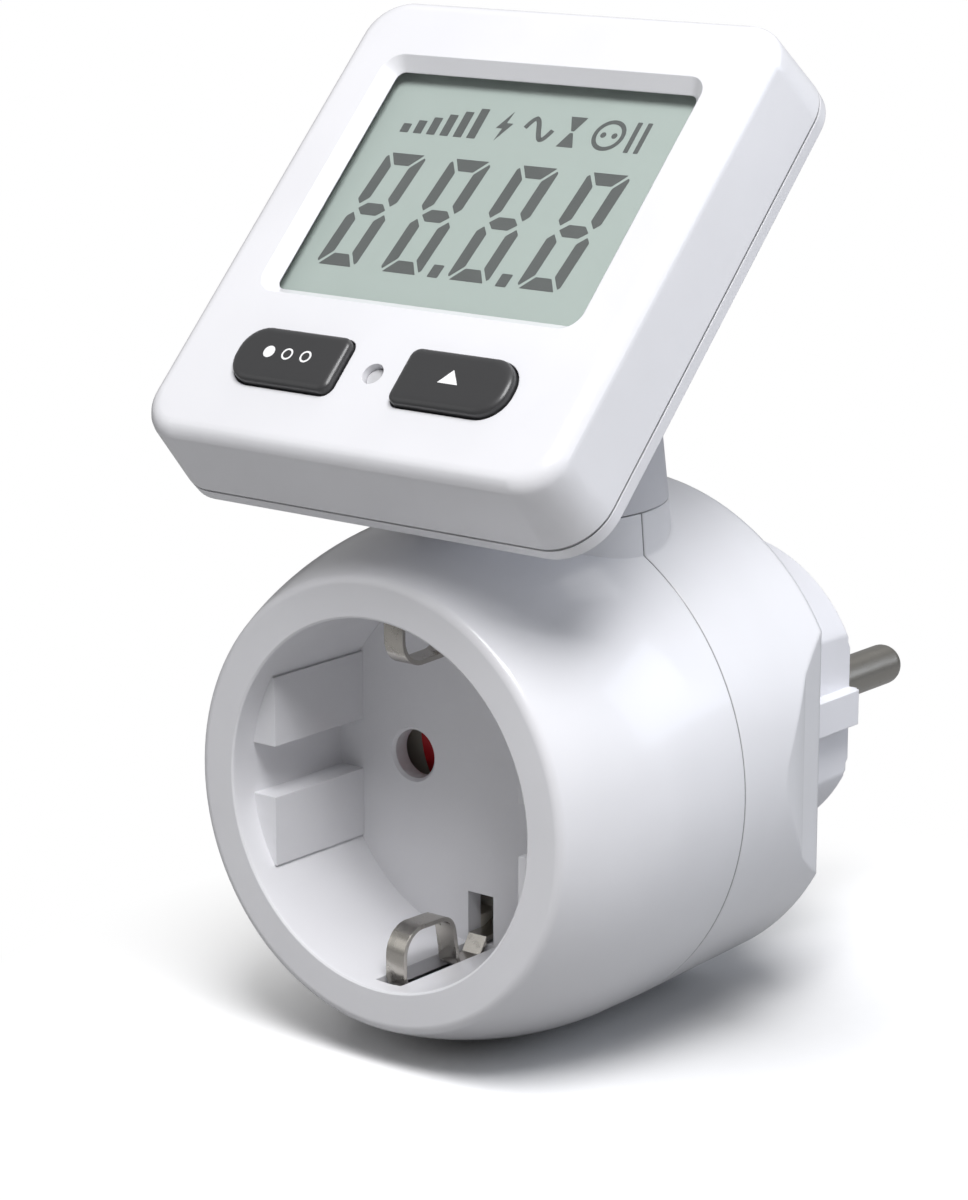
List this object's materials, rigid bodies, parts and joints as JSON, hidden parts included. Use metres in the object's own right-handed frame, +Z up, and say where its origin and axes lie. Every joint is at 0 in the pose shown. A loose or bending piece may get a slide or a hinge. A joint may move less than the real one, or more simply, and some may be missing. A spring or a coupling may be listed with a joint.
{
  "type": "plug-in energy meter",
  "caption": "Plug-in energy meter: earthed socket in front, plug behind, and a square display head with two buttons on a turning, tilting neck.",
  "frame": {"origin": "centre of the plug's end face, which meets the floor of the wall socket", "axes": "+Y out of the plug, into the wall; +Z up, towards the neck and the display; the meter's own socket faces -Y and the live pin is at -X"},
  "size_m": [0.058, 0.0908, 0.1088],
  "materials": {
    "white_plastic": "fine satin moulding",
    "button_plastic": "polished",
    "grey_plastic": "as moulded",
    "red_plastic": "as moulded",
    "cream_plastic": "as moulded",
    "black_plastic": "as moulded",
    "black_jacket": "smooth cable jacket",
    "nickel": "nickel plate",
    "steel": "bright zinc plate",
    "brass": "bright",
    "copper": "bright copper alloy",
    "circuit_board": "solder mask",
    "ochre_epoxy": "box capacitor",
    "blue_sleeve": "shrink sleeve",
    "blue_epoxy": "dipped epoxy",
    "clear_window": "clear, polished",
    "lcd_glass": "grey-green reflective panel",
    "elastomer": "striped conductive rubber"
  },
  "bodies": {
    "meter_body": {"front_cover": "white_plastic", "rear_cover": "white_plastic", "plug_body": "white_plastic", "cover_screws": "steel", "live_pin": "nickel", "neutral_pin": "nickel", "upper_earth_clip": "nickel", "lower_earth_clip": "nickel", "upper_earth_strip": "nickel", "lower_earth_strip": "nickel", "earth_link": "nickel", "contact_block": "cream_plastic", "live_contact": "brass", "neutral_contact": "brass", "neutral_bus": "brass", "shunt": "copper", "shutter_spring": "steel", "main_board": "circuit_board", "film_capacitor": "ochre_epoxy", "bulk_capacitor": "blue_sleeve", "varistor": "blue_epoxy", "metering_chip": "black_plastic", "lead_header": "cream_plastic"},
    "neck": {"neck": "white_plastic", "neck_lead": "black_jacket", "hinge_pins": "steel"},
    "display_head": {"head_back_shell": "white_plastic", "head_front_shell": "white_plastic", "head_screws": "steel", "lcd_window": "clear_window", "lcd_panel": "lcd_glass", "contact_strips": "elastomer", "display_board": "circuit_board", "display_chip": "black_plastic", "display_lead": "black_jacket", "key_switches": "steel"},
    "mode_key": {"mode_button": "button_plastic"},
    "up_key": {"up_button": "button_plastic"},
    "reset_key": {"reset_button": "grey_plastic"},
    "child_shutter": {"shutter": "red_plastic"}
  },
  "joints": [
    {"name": "neck_swivel", "type": "hinge", "parent": "meter_body", "child": "neck", "pos_m": [0, -0.0394, 0.029], "axis": [0, 0, 1], "range_deg": [-90, 90]},
    {"name": "head_tilt", "type": "hinge", "parent": "neck", "child": "display_head", "pos_m": [0, -0.0394, 0.04375], "axis": [-1, 0, 0], "range_deg": [-5, 45]},
    {"name": "mode_press", "type": "slide", "parent": "display_head", "child": "mode_key", "axis": [0, 0.7163, -0.6978], "range_m": [0, 0.0006], "stiffness_N_per_m": 500, "springref_m": -0.0005},
    {"name": "up_press", "type": "slide", "parent": "display_head", "child": "up_key", "axis": [0, 0.7163, -0.6978], "range_m": [0, 0.0006], "stiffness_N_per_m": 500, "springref_m": -0.0005},
    {"name": "reset_press", "type": "slide", "parent": "display_head", "child": "reset_key", "axis": [0, 0.7163, -0.6978], "range_m": [0, 0.0006], "stiffness_N_per_m": 500, "springref_m": -0.0005},
    {"name": "shutter_turn", "type": "hinge", "parent": "meter_body", "child": "child_shutter", "pos_m": [0, -0.0441, 0], "axis": [0, 1, 0], "range_deg": [0, 40], "stiffness_Nm_per_rad": 0.004, "springref_deg": -28.65}
  ]
}
